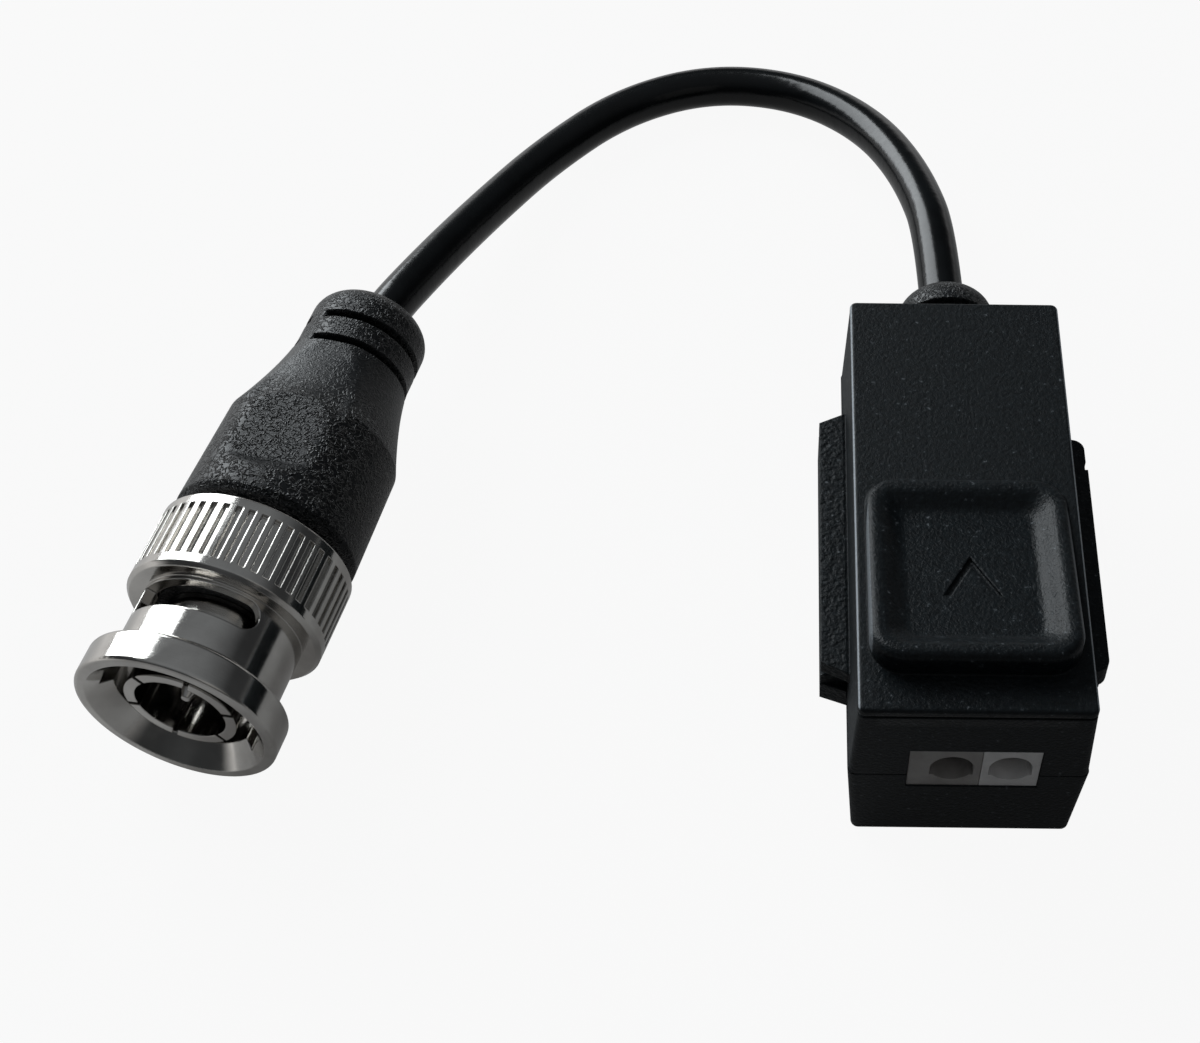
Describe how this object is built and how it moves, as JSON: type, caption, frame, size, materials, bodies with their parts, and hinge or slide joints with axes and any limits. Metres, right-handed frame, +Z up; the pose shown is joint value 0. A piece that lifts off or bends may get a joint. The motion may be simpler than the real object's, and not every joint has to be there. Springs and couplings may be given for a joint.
{
  "type": "cctv video balun with coaxial lead",
  "caption": "Passive video balun: a clip-together housing with a sliding cover over two spring wire terminals, and a short coaxial lead to a bayonet plug.",
  "frame": {"origin": "on the table under the middle of the housing", "axes": "+X to the right seen from the wire terminals, +Y from the wire terminals to the lead's exit, +Z up"},
  "size_m": [0.0703, 0.0772, 0.0179],
  "materials": {
    "housing": "spark-eroded black plastic",
    "terminal": "grey nylon",
    "terminal_light": "light grey nylon",
    "tinned": "tinned",
    "spring_steel": "bright",
    "board": "green lacquered glass laminate",
    "ferrite": "sintered",
    "copper": "enamelled copper",
    "chip_black": "moulded epoxy",
    "chip_tan": "fired ceramic",
    "rubber": "textured",
    "cable_jacket": "glossy",
    "nickel": "bright nickel plate",
    "insulator": "black moulded",
    "boot": "leather grained"
  },
  "bodies": {
    "housing": {"lower_shell": "housing", "upper_shell": "housing", "terminal_end_plate": "terminal", "terminal_module_left": "terminal", "terminal_module_right": "terminal_light", "contact_bar_left": "tinned", "contact_bar_right": "tinned", "clamp_spring_left": "spring_steel", "clamp_spring_right": "spring_steel", "circuit_board": "board", "choke_core": "ferrite", "choke_winding": "copper", "surge_arrester": "chip_black", "chip_capacitors": "chip_tan", "chip_resistors": "chip_black", "cover_spring": "spring_steel", "strain_relief": "rubber", "coax_core": "copper", "coax_braid": "tinned", "cable": "cable_jacket", "plug_contact": "nickel", "plug_insulator": "insulator", "plug_pin": "nickel", "plug_gasket": "rubber", "wave_washer": "spring_steel", "crimp_ferrule": "nickel", "plug_boot": "boot"},
    "cover": {"slide_cover": "housing"},
    "coupling_slider": {"thrust_washer": "nickel"},
    "coupling": {"coupling_sleeve": "nickel", "retaining_ring": "spring_steel"}
  },
  "joints": [
    {"name": "cover_slide", "type": "slide", "parent": "housing", "child": "cover", "axis": [0, 1, 0], "range_m": [0, 0.0035], "stiffness_N_per_m": 400, "deforming": ["cover_spring", "clamp_spring_left", "clamp_spring_right"]},
    {"name": "coupling_pull", "type": "slide", "parent": "housing", "child": "coupling_slider", "axis": [-0.2363, -0.9717, 0], "range_m": [0, 0.0008], "stiffness_N_per_m": 2000, "deforming": ["wave_washer"]},
    {"name": "coupling_turn", "type": "hinge", "parent": "coupling_slider", "child": "coupling", "pos_m": [-0.05353, -0.01374, 0.00722], "axis": [-0.2363, -0.9717, 0], "continuous": true}
  ]
}
